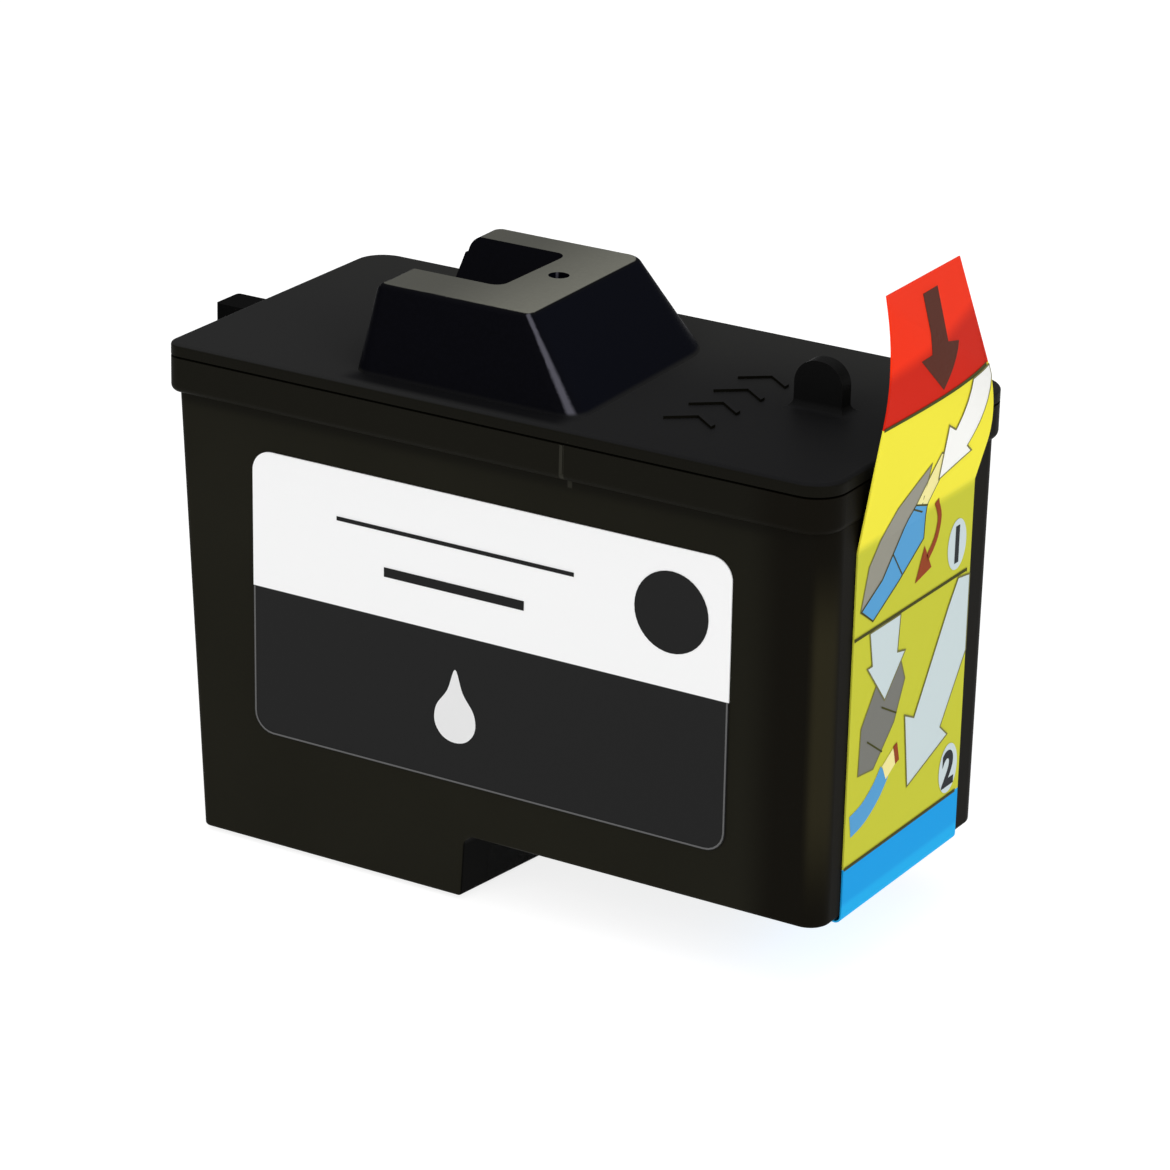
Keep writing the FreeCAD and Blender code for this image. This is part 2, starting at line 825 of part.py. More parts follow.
def add_press_ribs(body, at):
    """Three long ribs that hold the foam down and leave air above it."""
    sketch = body_sketch(body, "press_rib_outline", "XY_Plane", at.foam_top)
    left = at.left_wall(at.floor) + at.wall + at.press_rib_end
    right = at.right_wall - at.wall - at.press_rib_end
    for side in (-1, 0, 1):
        front = at.mid_width + at.press_rib_spacing * side - at.press_rib_width / 2
        draw(sketch, rectangle(left, front, right, front + at.press_rib_width))
    extrude(body, "Pad", "press_ribs", sketch, at.press_rib_drop)


def build_foam(doc, at):
    """The ink sponge, pressed over the standpipe."""
    body = new_body(doc, "ink_foam")
    side = air_rib_face(at)

    def foam_sides(height):
        left = at.left_wall(height) + at.wall + at.foam_gap
        return left, side, at.right_wall - at.wall - at.foam_gap, at.lid_width - side
    drafted_box(
        body, "Additive", "foam_block",
        at.floor, foam_sides(at.floor), at.foam_top, foam_sides(at.foam_top),
    )
    round_edges(body, "foam_corners", spanning(at.floor, at.foam_top), at.chamber_corner)
    seat = level_sketch(body, "pipe_seat", at.floor, pipe_outline(at, -at.foam_gap))
    extrude(body, "Pocket", "pipe_space", seat, at.pipe_height + at.filter_gauge, reverse=True)
    return body


def build_filter(doc, at):
    """The fine screen welded on the standpipe's rim."""
    body = new_body(doc, "filter_screen")
    sketch = level_sketch(body, "screen_outline", at.pipe_top, pipe_outline(at, at.filter_margin))
    extrude(body, "Pad", "screen", sketch, at.filter_gauge)
    return body


def build_head(doc, at):
    """The heater chip, the bond that holds it, the nozzle plate below it and the beads at its ends."""
    chip_foot = -at.adhesive_gauge
    chip = slotted_plate(doc, "heater_chip", at, chip_foot, at.chip_gauge)
    bond = slotted_plate(doc, "chip_adhesive", at, chip_foot + at.chip_gauge, at.adhesive_gauge)
    nozzles = new_body(doc, "nozzle_plate")
    sketch = level_sketch(
        nozzles, "nozzle_outline", chip_foot - at.nozzle_gauge,
        centred(at.snout_middle, at.mid_width, at.chip_length, at.chip_width),
    )
    extrude(nozzles, "Pad", "nozzle_film", sketch, at.nozzle_gauge)
    beads = new_body(doc, "encapsulant_beads")
    beads.AllowCompound = True
    sketch = body_sketch(beads, "bead_outlines", "XY_Plane", at.head_level)
    for side in (-1, 1):
        middle = at.snout_middle + (at.chip_length + at.bead_length) / 2 * side
        draw(sketch, centred(middle, at.mid_width, at.bead_length, at.chip_width))
    extrude(beads, "Pad", "beads", sketch, at.chip_gauge - at.head_level)
    return [chip, bond, nozzles, beads]


def slotted_plate(doc, name, at, foot, gauge):
    """A plate of the chip's size, with the ink slot through it."""
    body = new_body(doc, name)
    sketch = body_sketch(body, f"{name}_outline", "XY_Plane", foot)
    draw(sketch, centred(at.snout_middle, at.mid_width, at.chip_length, at.chip_width))
    draw(sketch, centred(at.snout_middle, at.mid_width, at.ink_slot_length, at.ink_slot_width))
    extrude(body, "Pad", f"{name}_plate", sketch, gauge)
    return body


def wrap_path(at, top, out, right):
    """A path round the snout's lower left corner, a distance out from it, from the right to the top."""
    stretch = root(at.left_slope * at.left_slope + 1) * out
    foot_x = at.left_wall(-out) - stretch
    return [
        (right, -out, None),
        (foot_x, -out, at.foot_round + out),
        (at.left_wall(top) - stretch, top, None),
    ]


def band(doc, name, path, gauge, depth, width):
    """A strip of even gauge: the open path thickened outward and run across the width."""
    sketch = section_sketch(doc, f"{name}_path", depth)
    draw(sketch, path, closed=False)
    layer = thicken(doc, f"{name}_section", sketch, gauge)
    strip = doc.addObject("Part::Extrusion", name)
    strip.Label = name
    strip.Base = layer
    strip.DirMode = "Custom"
    strip.Dir = FreeCAD.Vector(0, 1, 0)
    strip.Solid = True
    bind(strip, "LengthFwd", width)
    return strip


def thicken(doc, name, sketch, gauge):
    layer = doc.addObject("Part::Offset2D", name)
    layer.Source = sketch
    layer.Mode = "Skin"
    layer.Join = "Arc"
    layer.Fill = True
    bind(layer, "Value", gauge)
    return layer


def build_circuit(doc, at):
    """The flexible circuit from the head round the corner and up the left end, and its adhesive."""
    zero = Size.of(0.0)
    narrower = at.flex_width - at.adhesive_margin * 2
    adhesive = windowed_band(doc, at, "circuit_adhesive", zero, at.adhesive_gauge, narrower)
    flex = windowed_band(doc, at, "flex_circuit", at.adhesive_gauge, at.flex_gauge, at.flex_width)
    return [adhesive, flex]


def windowed_band(doc, at, name, out, gauge, width):
    """A wrapped band with the window round the head cut out."""
    path = wrap_path(at, at.flex_height, out, at.flex_right)
    strip = band(doc, f"{name}_strip", path, gauge, at.mid_width - width / 2, width)
    window = doc.addObject("Part::Box", f"{name}_window")
    length = at.chip_length + at.bead_length * 2
    across = at.chip_width + at.chip_side_gap * 2
    bind(window, "Length", length)
    bind(window, "Width", across)
    bind(window, "Height", (out + gauge) * 2)
    bind(window, ".Placement.Base.x", at.snout_middle - length / 2)
    bind(window, ".Placement.Base.y", at.mid_width - across / 2)
    bind(window, ".Placement.Base.z", -(out + gauge) * 1.5)
    cut = doc.addObject("Part::Cut", name)
    cut.Label = name
    cut.Base = strip
    cut.Tool = window
    return cut


def build_contacts(doc, at):
    """The contact pads on the circuit, a grid of separate plates on the leaning left end."""
    zero = Size.of(0.0)
    body = new_body(doc, "contact_pads")
    body.AllowCompound = True
    sketch = body_sketch(body, "contact_outline", "YZ_Plane")
    grid_width = at.contact_column_pitch * (at.contact_columns - 1)
    first = at.mid_width - grid_width / 2 - at.contact_width / 2
    draw(sketch, rectangle(
        first, at.contact_first_row, first + at.contact_width, at.contact_first_row + at.contact_height
    ))
    pad = extrude(body, "Pad", "contact", sketch, at.contact_gauge, reverse=True)
    grid = repeat(body, "contact_grid", pad, sketch, at.contact_columns, grid_width)
    grid.Direction2 = (sketch, ["V_Axis"])
    bind(grid, "Occurrences2", at.contact_rows)
    bind(grid, "Length2", at.contact_row_pitch * (at.contact_rows - 1))
    body.Placement.Rotation = FreeCAD.Rotation(FreeCAD.Vector(0, -1, 0), 1)
    bind(body, ".Placement.Rotation.Angle", angle_of(at.left_slope))
    out = at.adhesive_gauge + at.flex_gauge
    tilt = root(at.left_slope * at.left_slope + 1)
    place(body, at, at.left_wall(zero) - out / tilt, zero, -(at.left_slope * out / tilt))
    return body


def tape_path(at, depth):
    """The tape's inner line at a depth: below the high bottom, down the step, round the snout, up the end."""
    out = -at.tape_level
    stretch = root(at.left_slope * at.left_slope + 1) * out
    top = at.flex_height + at.tape_ramp + at.tape_overrun
    landing = at.flex_height + at.tape_ramp
    step = at.snout_reach + at.step_skew * depth
    return [
        (at.right_wall - at.sticker_wrap, at.high_bottom, None),
        (step + at.step_lean, at.high_bottom, at.step_round),
        (step, Size.of(0.0), at.foot_round),
        (at.flex_right + at.tape_ramp, Size.of(0.0), None),
        (at.flex_right, at.tape_level, None),
        (at.left_wall(at.tape_level) - stretch, at.tape_level, at.foot_round + out),
        (at.left_wall(at.flex_height) - stretch, at.flex_height, None),
        (at.left_wall(landing), landing, None),
        (at.left_wall(top), top, None),
    ]


def build_tape(doc, at):
    """The clear tape that seals nozzles and contacts, from the sticker's end to above the circuit."""
    edges = [at.sticker_front, at.sticker_front + at.sticker_width]
    return strip_between(doc, "sealing_tape", edges, [tape_path(at, edge) for edge in edges], at.tape_gauge)


def strip_between(doc, name, depths, paths, gauge):
    """A strip ruled between a path along its front edge and a path along its back edge."""
    sections = []
    for side, depth, path in zip(("front", "back"), depths, paths):
        sketch = section_sketch(doc, f"{name}_{side}_path", depth)
        draw(sketch, path, closed=False)
        sections.append(thicken(doc, f"{name}_{side}_section", sketch, gauge))
    strip = doc.addObject("Part::Loft", name)
    strip.Label = name
    strip.Sections = sections
    strip.Ruled = True
    strip.Solid = True
    return strip


def sticker_path(at, crease_drop, elbow, radius, tip):
    """Loose round the bottom edge, up the right end to the crease, then free of the end to the tip."""
    return [
        (at.right_wall - at.sticker_wrap, at.high_bottom, None),
        (at.right_wall - at.sticker_wrap / 2, at.high_bottom, at.sticker_wrap / 2),
        (at.right_wall, at.high_bottom - at.sticker_slack, at.sticker_slack),
        (at.right_wall, at.rim - crease_drop, None),
        (at.right_wall + elbow[0], at.rim + elbow[1], radius),
        (at.right_wall + tip[0], at.rim + tip[1], None),
    ]


def build_sticker(doc, at):
    """The printed pull sticker, whose free end twists: its front edge stands, its back edge leans in."""
    front = sticker_path(
        at, at.front_crease_drop, (at.front_elbow_out, at.front_elbow_rise), at.front_elbow_radius,
        (at.front_tip_out, at.front_tip_rise),
    )
    back = sticker_path(
        at, at.back_crease_drop, (at.back_elbow_out, at.back_elbow_rise), at.back_elbow_radius,
        (at.back_tip_out, at.back_tip_rise),
    )
    edges = [at.sticker_front, at.sticker_front + at.sticker_width]
    return strip_between(doc, "pull_sticker", edges, [front, back], -at.sticker_gauge)


def build_label(doc, at):
    """The printed label, flat on the drafted front wall."""
    body = new_body(doc, "side_label")
    sketch = body_sketch(body, "label_outline", "XZ_Plane")
    length = at.lid_length - at.label_left - at.label_right_gap
    draw(sketch, rectangle(Size.of(0.0), -at.label_height, length, Size.of(0.0), at.label_corner))
    extrude(body, "Pad", "label", sketch, at.label_gauge)
    top = at.rim - at.label_drop
    body.Placement.Rotation = FreeCAD.Rotation(FreeCAD.Vector(1, 0, 0), 1)
    bind(body, ".Placement.Rotation.Angle", angle_of(at.side_slope))
    place(body, at, at.label_left, at.front_wall(top), top)
    return body


def place(item, at, x, y, z):
    """Puts a sub-part's own origin at a point of the model frame, seen from the part's origin."""
    bind(item, ".Placement.Base.x", x - at.snout_middle)
    bind(item, ".Placement.Base.y", y - at.mid_width)
    bind(item, ".Placement.Base.z", z - at.lowest)


def check(doc, subparts):
    """Stops the script if any object failed or any sub-part isn't a sound solid."""
    failed = [item.Name for item in doc.Objects if {"Invalid", "Error"} & set(item.State)]
    unsound = [item.Name for item in subparts if item.Shape.isNull() or not item.Shape.isValid()]
    if failed or unsound:
        raise RuntimeError(f"failed {failed}, not sound {unsound}")


def export(subparts):
    os.makedirs("parts", exist_ok=True)
    for item in subparts:
        item.Shape.exportStep(f"parts/{item.Label}.step")
        print(f"{item.Label}: {len(item.Shape.Solids)} solids, {item.Shape.Volume:.2f} cubic mm")


def main():
    doc = FreeCAD.newDocument("ink_cartridge")
    at = Places(write_sheet(doc))
    zero = Size.of(0.0)
    square = [
        build_housing(doc, at),
        build_lid(doc, at),
        build_foam(doc, at),
        build_filter(doc, at),
        *build_head(doc, at),
        *build_circuit(doc, at),
        build_tape(doc, at),
        build_sticker(doc, at),
    ]
    for item in square:
        place(item, at, zero, zero, zero)
    subparts = square + [build_contacts(doc, at), build_label(doc, at)]
    doc.recompute()
    check(doc, subparts)
    export(subparts)


main()
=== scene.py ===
"""Looks of an inkjet ink cartridge.

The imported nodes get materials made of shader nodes, and the print of the pull sticker and the
label is laid on them as thin meshes. A floor, lights and the photo's camera stand round them.
"""

import math

import bmesh
import bpy
from mathutils import Matrix, Vector
from mathutils.bvhtree import BVHTree


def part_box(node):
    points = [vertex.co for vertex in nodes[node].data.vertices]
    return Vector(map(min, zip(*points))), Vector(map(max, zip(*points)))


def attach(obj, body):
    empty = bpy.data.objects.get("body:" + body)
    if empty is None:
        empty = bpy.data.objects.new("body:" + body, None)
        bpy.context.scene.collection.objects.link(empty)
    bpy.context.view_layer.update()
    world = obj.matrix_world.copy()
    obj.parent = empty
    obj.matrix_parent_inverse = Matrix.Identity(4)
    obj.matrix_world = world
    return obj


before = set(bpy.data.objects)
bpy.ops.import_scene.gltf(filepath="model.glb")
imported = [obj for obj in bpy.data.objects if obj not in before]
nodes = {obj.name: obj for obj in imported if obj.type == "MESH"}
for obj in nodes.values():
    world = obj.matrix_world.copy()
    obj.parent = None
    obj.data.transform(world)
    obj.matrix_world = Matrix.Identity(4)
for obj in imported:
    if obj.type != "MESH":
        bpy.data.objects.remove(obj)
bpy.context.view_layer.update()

MM = 0.001
WHITE = (1, 1, 1, 1)

LID_LOW, LID_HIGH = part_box("lid")
LABEL_LOW, LABEL_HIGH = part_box("side_label")
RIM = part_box("cartridge_body")[1].z
LID_TOP = RIM + 1.4 * MM
# The ends of the grip's foot
GRIP_LEFT = LID_LOW.x + 17.5 * MM
GRIP_RIGHT = LID_LOW.x + 41.4 * MM
# The fine upright rib on the collar's front
RIB_MIDDLE = LID_LOW.x + 41.25 * MM

# Places on the pull sticker in millimetres, up from the rim and back from the lid's front edge
RED_FOOT = 5.1
DIVIDER = -14.0
BLUE_HEAD = -35.1
STICKER_FRONT = 5.8
STICKER_BACK = 27.3
# The label's dark band starts this far below its top edge, in millimetres
WHITE_BAND = 13.0

# Print lies this far off its surface, and each layer this much further, in millimetres
PRINT_LIFT = 0.02
LAYER_STEP = 0.01
# The cells that print is cut into, on the bent sticker and on the flat label
BENT_CELL = 0.7 * MM
FLAT_CELL = 4 * MM

# The photo's camera: degrees, and millimetres from the lid's front left corner at the rim
VIEW_AZIMUTH = 30.70
VIEW_ELEVATION = 21.12
VIEW_ROLL = 1.436
VIEW_PLACE = (236.74, -324.77, 133.78)
LENS = 146.16
SENSOR = 36.0

INKS = {
    "arrow_brown": (88, 40, 26),
    "line_dark": (70, 70, 26),
    "line_grey": (120, 118, 70),
    "grey": (152, 150, 138),
    "grey_dark": (122, 122, 116),
    "blue": (88, 162, 214),
    "pale_yellow": (246, 236, 160),
    "white": (250, 250, 246),
    "pale": (206, 220, 222),
    "brown_red": (150, 66, 30),
    "numeral": (44, 48, 52),
    "label_line": (96, 96, 96),
    "label_pale": (226, 226, 226),
    "label_dark": (34, 34, 34),
}


def linear(red, green, blue):
    """A display colour from 0 to 255 as scene-linear light."""
    def one(value):
        value /= 255
        return value / 12.92 if value <= 0.04045 else ((value + 0.055) / 1.055) ** 2.4
    return one(red), one(green), one(blue), 1.0


class Shader:
    """A node material with short calls for the nodes it is made of."""

    def __init__(self, name):
        self.material = bpy.data.materials.new(name)
        self.material.use_nodes = True
        self.tree = self.material.node_tree
        self.tree.nodes.clear()
        self.output = self.tree.nodes.new("ShaderNodeOutputMaterial")
        self.coordinates = self.tree.nodes.new("ShaderNodeTexCoord").outputs["Object"]
        self.normal = self.tree.nodes.new("ShaderNodeNewGeometry").outputs["Normal"]

    def put(self, socket, value):
        """Links a node's output to a socket, or sets the socket to a plain value."""
        if isinstance(value, bpy.types.NodeSocket):
            self.tree.links.new(value, socket)
        else:
            socket.default_value = value

    def math(self, operation, *values):
        node = self.tree.nodes.new("ShaderNodeMath")
        node.operation = operation
        for socket, value in zip(node.inputs, values):
            self.put(socket, value)
        return node.outputs[0]

    def product(self, first, *others):
        """Masks or numbers multiplied with each other."""
        for other in others:
            first = self.math("MULTIPLY", first, other)
        return first

    def axes(self, vector):
        node = self.tree.nodes.new("ShaderNodeSeparateXYZ")
        self.put(node.inputs[0], vector)
        return node.outputs["X"], node.outputs["Y"], node.outputs["Z"]

    def ramp(self, value, low, high):
        """0 at low, 1 at high and smooth between. Low may be the larger number."""
        node = self.tree.nodes.new("ShaderNodeMapRange")
        node.interpolation_type = "SMOOTHSTEP"
        for name, number in (("Value", value), ("From Min", low), ("From Max", high)):
            self.put(node.inputs[name], number)
        return node.outputs["Result"]

    def edge(self, value, place, half_width=0.02):
        """0 below a place and 1 above it, with a narrow soft edge."""
        return self.ramp(value, place - half_width, place + half_width)

    def repeat(self, value, pitch, start=-20.0):
        """How far a value has come through its repeat, from 0 to 1, counted from a start."""
        return self.math("FRACT", self.math("DIVIDE", self.math("ADD", value, -start), pitch))

    def mix(self, share, first, second):
        node = self.tree.nodes.new("ShaderNodeMix")
        node.data_type = "RGBA"
        # Inputs 6 and 7 are the node's two colours
        for index, value in ((0, share), (6, first), (7, second)):
            self.put(node.inputs[index], value)
        return node.outputs[2]

    def paint(self, colour, *coats):
        """A colour with coats over it, each a mask and a colour."""
        for mask, coat in coats:
            colour = self.mix(mask, colour, coat)
        return colour

    def noise(self, scale, detail=2.0):
        node = self.tree.nodes.new("ShaderNodeTexNoise")
        self.put(node.inputs["Vector"], self.coordinates)
        self.put(node.inputs["Scale"], scale)
        self.put(node.inputs["Detail"], detail)
        return node.outputs["Fac"]

    def bump(self, height, strength, distance=0.02 * MM):
        node = self.tree.nodes.new("ShaderNodeBump")
        self.put(node.inputs["Strength"], strength)
        self.put(node.inputs["Distance"], distance)
        self.put(node.inputs["Height"], height)
        return node.outputs["Normal"]

    def moulded_grain(self):
        return self.bump(self.noise(9000.0), 0.25)

    def finish(self, **inputs):
        """The material with one principled surface, whose inputs are given by name."""
        node = self.tree.nodes.new("ShaderNodeBsdfPrincipled")
        for name, value in inputs.items():
            self.put(node.inputs[name.replace("_", " ")], value)
        self.tree.links.new(node.outputs[0], self.output.inputs["Surface"])
        return self.material


def flat_finish(name, colour, roughness=0.5, metallic=0.0, shine=0.5):
    """A finish of one even colour."""
    return Shader(name).finish(
        Base_Color=colour, Roughness=roughness, Metallic=metallic, Specular_IOR_Level=shine
    )


def housing_plastic():
    """Fine-grained black plastic with an olive cast.

    Tones that the photo shows are painted on by place and facing.
    """
    shader = Shader("housing_plastic")
    x, _, height = shader.axes(shader.coordinates)
    facing_right, facing_back, _ = shader.axes(shader.normal)

    collar = shader.ramp(height, RIM - 5 * MM, RIM - 4 * MM)
    # Painted shade: the right end is darker
    shaded_right_end = shader.ramp(x, LABEL_HIGH.x + 1 * MM, LABEL_HIGH.x + 5 * MM)
    from_rib = shader.math("ABSOLUTE", shader.math("SUBTRACT", x, RIB_MIDDLE))
    rib = shader.product(
        shader.ramp(from_rib, 0.28 * MM, 0.16 * MM),
        shader.ramp(facing_back, -0.5, -0.8),
        shader.ramp(height, RIM - 4.4 * MM, RIM - 4.2 * MM),
    )
    # A painted highlight runs down the front right corner, faded out near the foot and under the
    # collar
    facing_corner = shader.product(
        shader.math("SUBTRACT", facing_right, facing_back), math.sqrt(0.5)
    )
    painted_corner_highlight = shader.product(
        shader.ramp(facing_corner, 0.72, 0.97),
        shader.ramp(height, 7 * MM, 18 * MM),
        shader.ramp(height, RIM - 5 * MM, RIM - 14 * MM),
    )
    # Painted shade makes the snout's right side near black
    shaded_snout_side = shader.product(
        shader.ramp(facing_right, 0.7, 0.9), shader.ramp(height, 6.4 * MM, 6.2 * MM)
    )
    # Painted shade makes the ear below the lid's left edge near black
    ear = shader.ramp(x, LID_LOW.x - 0.1 * MM, LID_LOW.x - 0.4 * MM)

    colour = shader.paint(
        shader.mix(shader.noise(60.0, 3.0), linear(24, 23, 17), linear(31, 30, 23)),
        (collar, linear(22, 21, 16)),
        (shaded_right_end, linear(17, 15, 10)),
        (rib, linear(44, 43, 37)),
        (painted_corner_highlight, linear(40, 37, 24)),
        (shaded_snout_side, linear(2, 2, 1)),
        (ear, linear(2, 2, 2)),
    )
    return shader.finish(
        Base_Color=colour, Roughness=0.48, Specular_IOR_Level=0.02, Normal=shader.moulded_grain()
    )


def lid_plastic():
    """Neutral black plastic, with the grip's sides painted near black as painted shade and pale where
    the grip's crown faces up.
    """
    shader = Shader("lid_plastic")
    x, y, height = shader.axes(shader.coordinates)
    facing_right, facing_back, facing_up = shader.axes(shader.normal)
    blotches = shader.noise(2500.0, 3.0)

    raised = shader.ramp(height, LID_TOP + 0.05 * MM, LID_TOP + 0.35 * MM)
    grip = shader.product(raised, shader.math("LESS_THAN", x, GRIP_RIGHT + 2 * MM))
    tab = shader.product(raised, shader.math("GREATER_THAN", x, GRIP_RIGHT + 12 * MM))
    crown = shader.product(
        shader.ramp(height, LID_HIGH.z - 0.5 * MM, LID_HIGH.z - 0.1 * MM),
        grip,
        shader.ramp(facing_up, 0.94, 0.985),
    )
    # Painted dark reflection and shadow of the grip on the plate, just before its front foot
    grip_reflection_and_shade = shader.product(
        shader.ramp(x, GRIP_LEFT, GRIP_LEFT + 2 * MM),
        shader.ramp(x, GRIP_RIGHT, GRIP_RIGHT - 2 * MM),
        shader.ramp(y, LID_LOW.y + 0.4 * MM, LID_LOW.y + 1.4 * MM),
        shader.ramp(y, LID_LOW.y + 3.4 * MM, LID_LOW.y + 2.6 * MM),
    )
    # The plate is painted lighter towards the left and the back, a painted sheen of light from behind
    plate = shader.paint(
        shader.mix(
            shader.ramp(x, LID_LOW.x, LID_HIGH.x), linear(38, 38, 38), linear(24, 24, 25)
        ),
        (shader.ramp(y, LID_LOW.y + 14 * MM, LID_HIGH.y), linear(41, 41, 40)),
        (grip_reflection_and_shade, linear(13, 13, 15)),
        # Painted shade on the faces that do not face up
        (shader.ramp(facing_up, 0.6, 0.2), linear(18, 17, 12)),
    )

    # The painted highlight down the grip's front right corner lies where both facings nearly cancel
    facing_sum = shader.math("ADD", shader.math("ADD", facing_right, facing_back), 0.1)
    corner = shader.product(
        shader.ramp(facing_right, 0.12, 0.3),
        shader.ramp(facing_back, -0.12, -0.3),
        shader.ramp(shader.math("ABSOLUTE", facing_sum), 0.26, 0.06),
    )
    # The grip's sides are painted near black as painted shade, with a bluer painted cast on the side
    # facing right
    sides = shader.paint(
        shader.mix(blotches, linear(1, 1, 4), linear(4, 4, 10)),
        (shader.ramp(facing_right, 0.3, 0.8), linear(4, 6, 17)),
        (corner, linear(82, 81, 90)),
    )
    top = shader.mix(
        shader.ramp(x, GRIP_LEFT + 4 * MM, GRIP_RIGHT - 6 * MM),
        linear(90, 90, 84),
        linear(126, 126, 116),
    )
    top = shader.mix(shader.product(blotches, 0.3), top, linear(78, 77, 70))

    colour = shader.paint(plate, (grip, sides), (tab, linear(20, 20, 20)), (crown, top))
    return shader.finish(
        Base_Color=colour, Roughness=0.5, Specular_IOR_Level=0.03, Normal=shader.moulded_grain()
    )


def sticker_print():
    """Red tab, yellow field and blue end on the outer side, pale film on the inner side."""
    shader = Shader("sticker_print")
    _, _, z = shader.axes(shader.coordinates)
    height = shader.math("DIVIDE", shader.math("SUBTRACT", z, RIM), MM)
    facing_out, _, facing_up = shader.axes(shader.normal)

    # Each field has one tone below and another above a certain height: the yellow is painted shade
    # below the sticker's crease and painted light above it, the red is painted lighter at its top
    # where light shines through it, and the blue is painted lighter on its lower bend
    yellow_lit_above_crease = shader.ramp(height, -6.5, -5.2)
    yellow = shader.mix(yellow_lit_above_crease, linear(203, 204, 62), linear(247, 236, 66))
    red_backlit_above = shader.ramp(height, 9.0, 10.6)
    red = shader.mix(red_backlit_above, linear(212, 38, 20), linear(252, 54, 22))
    blue_above_lit_bend = shader.ramp(height, -38.8, -38.2)
    blue = shader.mix(blue_above_lit_bend, linear(36, 178, 242), linear(30, 162, 234))
    fields = shader.paint(
        blue, (shader.edge(height, BLUE_HEAD), yellow), (shader.edge(height, RED_FOOT), red)
    )
    outer_side = shader.math(
        "MAXIMUM", shader.ramp(facing_out, -0.6, -0.4), shader.ramp(facing_up, -0.5, -0.6)
    )
    colour = shader.mix(outer_side, linear(215, 215, 205), fields)
    return shader.finish(Base_Color=colour, Roughness=0.45, Specular_IOR_Level=0.01)


def label_print():
    """White band over a near-black band."""
    shader = Shader("label_print")
    _, _, z = shader.axes(shader.coordinates)
    drop = shader.math("DIVIDE", shader.math("SUBTRACT", LABEL_HIGH.z, z), MM)
    dark_band = shader.edge(drop, WHITE_BAND, 0.03)
    colour = shader.mix(dark_band, linear(242, 242, 242), linear(30, 30, 30))
    return shader.finish(Base_Color=colour, Roughness=0.4, Specular_IOR_Level=0.06)


def clear_tape():
    """Clear film with a faint sheen."""
    material = Shader("clear_tape").finish(
        Base_Color=linear(30, 31, 32), Roughness=0.25, Alpha=0.05, Specular_IOR_Level=0.03
    )
    material.surface_render_method = "BLENDED"
    return material


def circuit_film():
    """Amber film with copper tracks that run along it, in groups with bare film between."""
    track_pitch = 0.7
    shader = Shader("circuit_film")
    _, y, _ = shader.axes(shader.coordinates)
    place = shader.math("DIVIDE", y, MM)
    spread = shader.math("ABSOLUTE", place)
    share = shader.repeat(place, track_pitch)
    tracks = shader.product(
        shader.product(shader.ramp(share, 0.3, 0.34), shader.ramp(share, 0.8, 0.76)),
        shader.product(shader.ramp(spread, 8.9, 8.8), shader.ramp(spread, 1.2, 1.3)),
    )
    amber = shader.mix(shader.noise(300.0), linear(150, 84, 28), linear(172, 100, 36))
    return shader.finish(
        Base_Color=shader.mix(tracks, amber, linear(196, 124, 70)), Roughness=0.3
    )


def nozzle_film():
    """Amber film with two rows of fine dark nozzles."""
    nozzle_pitch = 0.4
    nozzle_radius = 0.09
    row_from_middle = 1.1
    shader = Shader("nozzle_film")
    x, y, _ = shader.axes(shader.coordinates)
    x = shader.math("DIVIDE", x, MM)
    from_middle = shader.math("ABSOLUTE", shader.math("DIVIDE", y, MM))
    share = shader.repeat(x, nozzle_pitch)
    along = shader.product(shader.math("SUBTRACT", share, 0.5), nozzle_pitch)
    across = shader.math("SUBTRACT", from_middle, row_from_middle)
    squares = shader.math("ADD", shader.product(along, along), shader.product(across, across))
    nozzles = shader.product(
        shader.math("LESS_THAN", squares, nozzle_radius ** 2),
        shader.ramp(shader.math("ABSOLUTE", x), 5.8, 5.7),
    )
    colour = shader.mix(nozzles, linear(176, 108, 44), linear(26, 18, 14))
    return shader.finish(Base_Color=colour, Roughness=0.25)


def foam():
    """Black open-cell foam."""
    shader = Shader("foam")
    cells = shader.noise(1800.0, 4.0)
    colour = shader.mix(cells, linear(10, 10, 12), linear(40, 40, 44))
    relief = shader.bump(cells, 0.8, 0.2 * MM)
    return shader.finish(Base_Color=colour, Roughness=0.9, Normal=relief)


def woven_steel():
    """Bare steel with the fine checks of a woven screen."""
    shader = Shader("screen_steel")
    weave = shader.tree.nodes.new("ShaderNodeTexChecker")
    shader.put(weave.inputs["Vector"], shader.coordinates)
    shader.put(weave.inputs["Scale"], 12000.0)
    colour = shader.mix(weave.outputs["Fac"], linear(120, 120, 118), linear(190, 190, 186))
    return shader.finish(Base_Color=colour, Roughness=0.35, Metallic=1.0)


def dress_nodes():
    """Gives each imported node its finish."""
    adhesive = flat_finish("adhesive", linear(160, 148, 124), 0.6)
    finishes = {
        "cartridge_body": housing_plastic(),
        "lid": lid_plastic(),
        "ink_foam": foam(),
        "filter_screen": woven_steel(),
        "heater_chip": flat_finish("silicon", linear(70, 70, 82), 0.2),
        "chip_adhesive": adhesive,
        "circuit_adhesive": adhesive,
        "nozzle_plate": nozzle_film(),
        "flex_circuit": circuit_film(),
        "encapsulant_beads": flat_finish("encapsulant", linear(24, 24, 28), 0.25),
        "contact_pads": flat_finish("contact_gold", linear(232, 190, 96), 0.28, 1.0),
        "sealing_tape": clear_tape(),
        "pull_sticker": sticker_print(),
        "side_label": label_print(),
    }
    for node, material in finishes.items():
        mesh = nodes[node].data
        mesh.materials.clear()
        mesh.materials.append(material)


